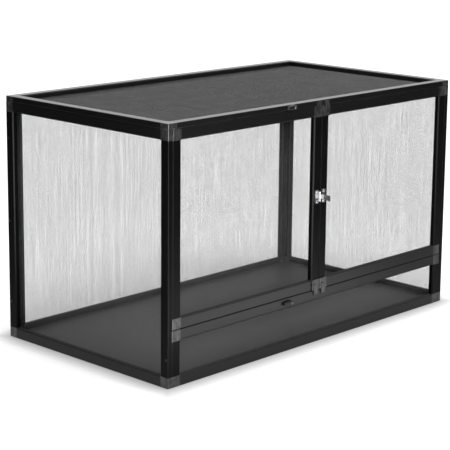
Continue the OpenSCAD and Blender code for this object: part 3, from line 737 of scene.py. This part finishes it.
class ScreenSettings(bpy.types.PropertyGroup):
    """Sizes and unevenness of the woven screens"""
    pitch: FloatProperty(
        name="Wire pitch", description="Distance between neighbouring wires",
        default=1.0 * MM, min=0.8 * MM, max=6 * MM, unit="LENGTH", precision=5)
    wall_wire: FloatProperty(
        name="Wall wire", description="Thickness of the wires of the walls and doors",
        default=0.136 * MM, min=0.05 * MM, max=0.5 * MM, unit="LENGTH", precision=6)
    top_wire: FloatProperty(
        name="Top wire", description="Thickness of the heavier wires of the top",
        default=0.24 * MM, min=0.05 * MM, max=0.6 * MM, unit="LENGTH", precision=6)
    unevenness: FloatProperty(
        name="Unevenness", description="Most that a wire strays, as a share of the pitch",
        default=0.28, min=0, max=0.4)
    knot_gap: FloatProperty(
        name="Knot gap", description="Length of wire over which it strays one way",
        default=0.08, min=0.02, max=1, unit="LENGTH")
    seed: IntProperty(
        name="Seed", description="Chooses the small unevenness of the weave", default=7)


class FastenerSettings(bpy.types.PropertyGroup):
    """Sizes of the screws and the turn buttons"""
    around: IntProperty(
        name="Round steps", description="Corners round a screw's head, an even number",
        default=48, min=16, max=96, step=2)
    wing_edge: FloatProperty(
        name="Wing edge", description="Rounding along the edge of a turn button",
        default=1.6 * MM, min=0.4 * MM, max=3 * MM, unit="LENGTH", precision=5)
    wing_crown: FloatProperty(
        name="Wing crown", description="Height of the crown of a turn button",
        default=0.5 * MM, min=0.0, max=1 * MM, unit="LENGTH", precision=5)


class FinishSettings(bpy.types.PropertyGroup):
    """Colours of the materials"""
    rail: FloatVectorProperty(
        name="Rail", description="Colour of the coated rails", subtype="COLOR",
        default=(0.005, 0.005, 0.0054), min=0, max=1)
    key: FloatVectorProperty(
        name="Corner key", description="Colour of the moulded corner keys", subtype="COLOR",
        default=(0.054, 0.054, 0.055), min=0, max=1)
    wire: FloatVectorProperty(
        name="Wire", description="Colour of the screens' wires", subtype="COLOR",
        default=(0.1, 0.1, 0.101), min=0, max=1)
    top_wire: FloatVectorProperty(
        name="Top wire", description="Colour of the top screen's heavier wires", subtype="COLOR",
        default=(0.125, 0.125, 0.126), min=0, max=1)
    spline: FloatVectorProperty(
        name="Spline", description="Colour of the cord in the grooves", subtype="COLOR",
        default=(0.012, 0.012, 0.012), min=0, max=1)
    board: FloatVectorProperty(
        name="Floor board", description="Colour of the floor board", subtype="COLOR",
        default=(0.039, 0.039, 0.04), min=0, max=1)
    button_screw: FloatVectorProperty(
        name="Button screw", description="Colour of the turn buttons' screws", subtype="COLOR",
        default=(0.2, 0.2, 0.205), min=0, max=1)
    button: FloatVectorProperty(
        name="Turn button", description="Colour of the turn buttons", subtype="COLOR",
        default=(0.014, 0.014, 0.015), min=0, max=1)
    steel: FloatVectorProperty(
        name="Bright steel", description="Colour of the bright screws", subtype="COLOR",
        default=(0.62, 0.62, 0.63), min=0, max=1)
    sheet_steel: FloatVectorProperty(
        name="Sheet steel", description="Colour of the hasp and the pins", subtype="COLOR",
        default=(0.37, 0.37, 0.38), min=0, max=1)
    black_steel: FloatVectorProperty(
        name="Black steel", description="Colour of the assembly screws", subtype="COLOR",
        default=(0.016, 0.016, 0.016), min=0, max=1)


class StageSettings(bpy.types.PropertyGroup):
    """Floor, light and camera"""
    camera_place: FloatVectorProperty(
        name="Camera", description="Place of the camera", subtype="TRANSLATION",
        default=(-2.7963, -2.647, 1.1558))
    camera_turn: FloatVectorProperty(
        name="Camera turn", description="Rotation of the camera about X, Y and Z", subtype="EULER",
        default=(math.radians(78.4201), math.radians(-0.6756), math.radians(-46.7618)))
    lens: FloatProperty(
        name="Lens", description="Focal length on a 36 mm sensor, in millimetres",
        default=123.89, min=20, max=300)
    shift: FloatVectorProperty(
        name="Shift", description="Shift of the lens, as a share of the frame", size=2,
        default=(-0.0445, -0.1033))
    floor_radius: FloatProperty(
        name="Floor radius", description="Radius of the pale floor", default=8.0,
        min=1, max=20, unit="LENGTH")
    lit_radius: FloatProperty(
        name="Lit radius", description="How far out bounced light still finds the floor",
        default=1.3, min=0.8, max=8, unit="LENGTH")
    floor_glow: FloatProperty(
        name="Floor glow", description="Light that the paper gives of its own", default=0.16,
        min=0, max=1)
    strip_power: FloatProperty(
        name="Strip softbox", description="Power of the softbox to the front right",
        default=1.5, min=0, max=500, unit="POWER")
    low_power: FloatProperty(
        name="Low softbox", description="Power of the low softbox by the camera",
        default=8.0, min=0, max=500, unit="POWER")


# ---- operators ------------------------------------------------------------

class TERRARIUM_OT_screens(bpy.types.Operator):
    """Weaves the seven screens out of crossing wires"""
    bl_idname = "terrarium.screens"
    bl_label = "Woven screens"

    def execute(self, context):
        weave = context.scene.terrarium_screens
        colours = context.scene.terrarium_finish
        wall = (weave.wall_wire, screen_wire("coated_wire", colours.wire))
        top = (weave.top_wire, screen_wire("heavy_coated_wire", colours.top_wire))
        for number, panel in enumerate(SCREENS):
            thickness, finish = top if panel == "top" else wall
            woven_screen(panel + "_screen", panel + "_mesh", weave, thickness,
                         panel if panel in DOORS else "frame", weave.seed + number, finish)
        return {"FINISHED"}


class TERRARIUM_OT_hasp_screws(bpy.types.Operator):
    """Turns the pan-head screws of both hasp plates, with their cross recesses"""
    bl_idname = "terrarium.hasp_screws"
    bl_label = "Hasp screws"

    def execute(self, context):
        scene = context.scene
        finish = plated("plated_screw", scene.terrarium_finish.steel, roughness=0.18)
        for node, body in (("hasp_hinge_screws", "left_door"), ("hasp_catch_screws", "right_door")):
            screw_pair(node, body, head_h=2.3 * MM, shank_r=1.45 * MM, spin=(20, 47),
                       around=scene.terrarium_fasteners.around, finish=finish)
        return {"FINISHED"}


class TERRARIUM_OT_button_screws(bpy.types.Operator):
    """Turns the two screws that the turn buttons swing on"""
    bl_idname = "terrarium.button_screws"
    bl_label = "Turn button screws"

    def execute(self, context):
        scene = context.scene
        colour = scene.terrarium_finish.button_screw
        screw_pair("turn_button_screws", "frame", head_h=2.2 * MM, shank_r=2 * MM, spin=(12, 33),
                   around=scene.terrarium_fasteners.around,
                   finish=plated("button_screw_plating", colour, roughness=0.3))
        return {"FINISHED"}


class TERRARIUM_OT_assembly_screws(bpy.types.Operator):
    """Turns the sunk screws that pull the panels together, with their cross recesses"""
    bl_idname = "terrarium.assembly_screws"
    bl_label = "Assembly screws"

    def execute(self, context):
        scene = context.scene
        node = "assembly_screws"
        low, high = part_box(node)
        wall_h = HEIGHT - RAIL_T
        rear_y = HALF_DEPTH - RAIL_T / 2
        end_y = HALF_DEPTH - SCREW_END
        places = [(rear_y, SCREW_END), (rear_y, wall_h / 2), (rear_y, wall_h - SCREW_END),
                  (-rear_y, LOWER_PANEL_H / 2), (-end_y, FLOOR_T / 2), (end_y, FLOOR_T / 2)]
        spots = []
        for side, x in ((-1, low[0]), (1, high[0])):
            spots += [on_side(side, x, y, z) for y, z in places]
            spots += [on_top(x - side * RAIL_T / 2, y, high[2]) for y in (-end_y, end_y)]
        first_turn, turn_step = 25, 41
        spots = [turned(spot, first_turn + turn_step * i) for i, spot in enumerate(spots)]
        shape = screw(head_r=3.4 * MM, head_h=1.9 * MM, shank_r=1.7 * MM, length=22 * MM,
                      around=scene.terrarium_fasteners.around, sunk=True)
        finish = moulded("blacked_screw_steel", scene.terrarium_finish.black_steel,
                         roughness=0.34, grain=1400.0, strength=0.12)
        make_piece(node + "_turned", *several(shape, spots), "frame", "black_screw", node, finish)
        return {"FINISHED"}


class TERRARIUM_OT_wings(bpy.types.Operator):
    """Moulds the wings of the two turn buttons"""
    bl_idname = "terrarium.wings"
    bl_label = "Turn buttons"

    def execute(self, context):
        scene = context.scene
        crown = scene.terrarium_fasteners.wing_crown
        edge = scene.terrarium_fasteners.wing_edge
        finish = moulded("button_plastic", scene.terrarium_finish.button, roughness=0.42)
        tip_r = 4 * MM
        for node in ("turn_button_top", "turn_button_bottom"):
            low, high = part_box(node)
            boss_r = (high[2] - low[2]) / 2
            reach = (high[0] - low[0]) - boss_r - tip_r
            thick = high[1] - low[1] - crown
            points, faces = wing(boss_r, tip_r, reach, thick, crown, edge)
            origin = (high[0] - boss_r, high[1], (low[2] + high[2]) / 2)
            placing = placing_at(origin, (-1, 0, 0), (0, 0, -1), (0, -1, 0))
            make_piece(node + "_wing", place(points, placing), faces, node, "button_plastic",
                       node, finish)
        return {"FINISHED"}


class TERRARIUM_OT_finishes(bpy.types.Operator):
    """Coats the rails and gives every other carried-over part its finish"""
    bl_idname = "terrarium.finishes"
    bl_label = "Finishes"

    def execute(self, context):
        colours = context.scene.terrarium_finish
        rails = [coated_rail("coated_rail_" + "xyz"[axis], colours.rail, axis)
                 for axis in range(3)]
        by_slot = {
            "key_plastic": streaked_key("key_plastic", colours.key),
            "spline_rubber": moulded("spline_rubber", colours.spline, roughness=0.66,
                                     grain=1600.0, strength=0.35),
            "floor_board": foam_board("board_skin", colours.board),
            "button_plastic": moulded("button_plastic_plain", colours.button, roughness=0.42),
            "bright_steel": plated("plated_steel", colours.sheet_steel, roughness=0.3),
            "black_screw": moulded("blacked_steel", colours.black_steel, roughness=0.36,
                                   grain=1400.0, strength=0.15)}
        for part in frame["record"]["subparts"]:
            node, slot = part["node"], part["material_slot"]
            if slot == "screen_mesh":
                continue
            if slot == "black_aluminium":
                low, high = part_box(node)
                axis = int(np.argmax(np.array(high) - np.array(low)))
                dress(node, rails[axis])
            else:
                dress(node, by_slot[slot])
        return {"FINISHED"}


class TERRARIUM_OT_stage(bpy.types.Operator):
    """Sets the pale floor, the soft light and the camera"""
    bl_idname = "terrarium.stage"
    bl_label = "Stage"

    def execute(self, context):
        scene = context.scene
        s = scene.terrarium_stage
        corners = 96
        angle = np.arange(corners) * TAU / corners
        rim = np.stack([s.floor_radius * np.cos(angle), s.floor_radius * np.sin(angle),
                        np.full(corners, CAD_BOX[0][2] - FLOOR_DROP)], axis=-1)
        mesh = bpy.data.meshes.new("pale_floor")
        mesh.from_pydata(rim.tolist(), [], [list(range(corners))])
        floor = bpy.data.objects.new("pale_floor", mesh)
        scene.collection.objects.link(floor)
        floor.data.materials.append(paper_finish(s.floor_glow, s.lit_radius))
        scene.world = studio_room()
        scene.collection.objects.link(softbox("strip_softbox", *STRIP_SOFTBOX, s.strip_power))
        scene.collection.objects.link(softbox("low_softbox", *LOW_SOFTBOX, s.low_power))

        lens = bpy.data.cameras.new("camera")
        lens.sensor_width = 36
        lens.lens = s.lens
        lens.shift_x, lens.shift_y = s.shift
        lens.clip_start, lens.clip_end = 0.1, 60
        camera = bpy.data.objects.new("camera", lens)
        camera.matrix_world = (Matrix.Translation(Vector(s.camera_place))
                               @ Euler(s.camera_turn, "XYZ").to_matrix().to_4x4())
        scene.collection.objects.link(camera)
        scene.camera = camera
        scene.view_settings.view_transform = "Standard"
        scene.view_settings.look = "None"
        return {"FINISHED"}


class TERRARIUM_PT_panel(bpy.types.Panel):
    """Lists the steps and sizes of the terrarium in the sidebar"""
    bl_idname = "TERRARIUM_PT_panel"
    bl_label = "Terrarium"
    bl_space_type = "VIEW_3D"
    bl_region_type = "UI"
    bl_category = "Terrarium"

    def draw(self, context):
        scene = context.scene
        for title, settings in (("Screens", scene.terrarium_screens),
                                ("Fastenings", scene.terrarium_fasteners),
                                ("Finishes", scene.terrarium_finish),
                                ("Stage", scene.terrarium_stage)):
            box = self.layout.box()
            box.label(text=title)
            for prop in settings.bl_rna.properties:
                if prop.identifier not in {"rna_type", "name"}:
                    box.prop(settings, prop.identifier)
        for operator in STEPS:
            self.layout.operator(operator.bl_idname)


STEPS = (TERRARIUM_OT_stage, TERRARIUM_OT_screens, TERRARIUM_OT_hasp_screws,
         TERRARIUM_OT_button_screws, TERRARIUM_OT_assembly_screws, TERRARIUM_OT_wings,
         TERRARIUM_OT_finishes)
SETTINGS = (("terrarium_screens", ScreenSettings), ("terrarium_fasteners", FastenerSettings),
            ("terrarium_finish", FinishSettings), ("terrarium_stage", StageSettings))


def register():
    """Adds the settings, the steps and the panel."""
    for name, group in SETTINGS:
        bpy.utils.register_class(group)
        setattr(bpy.types.Scene, name, PointerProperty(type=group))
    for step in STEPS:
        bpy.utils.register_class(step)
    bpy.utils.register_class(TERRARIUM_PT_panel)


def unregister():
    """Takes the panel, the steps and the settings away again."""
    bpy.utils.unregister_class(TERRARIUM_PT_panel)
    for step in reversed(STEPS):
        bpy.utils.unregister_class(step)
    for name, group in reversed(SETTINGS):
        delattr(bpy.types.Scene, name)
        bpy.utils.unregister_class(group)


def main():
    """Runs every step."""
    register()
    bpy.ops.terrarium.stage()
    bpy.ops.terrarium.screens()
    bpy.ops.terrarium.hasp_screws()
    bpy.ops.terrarium.button_screws()
    bpy.ops.terrarium.assembly_screws()
    bpy.ops.terrarium.wings()
    bpy.ops.terrarium.finishes()


if __name__ == "__main__":
    main()
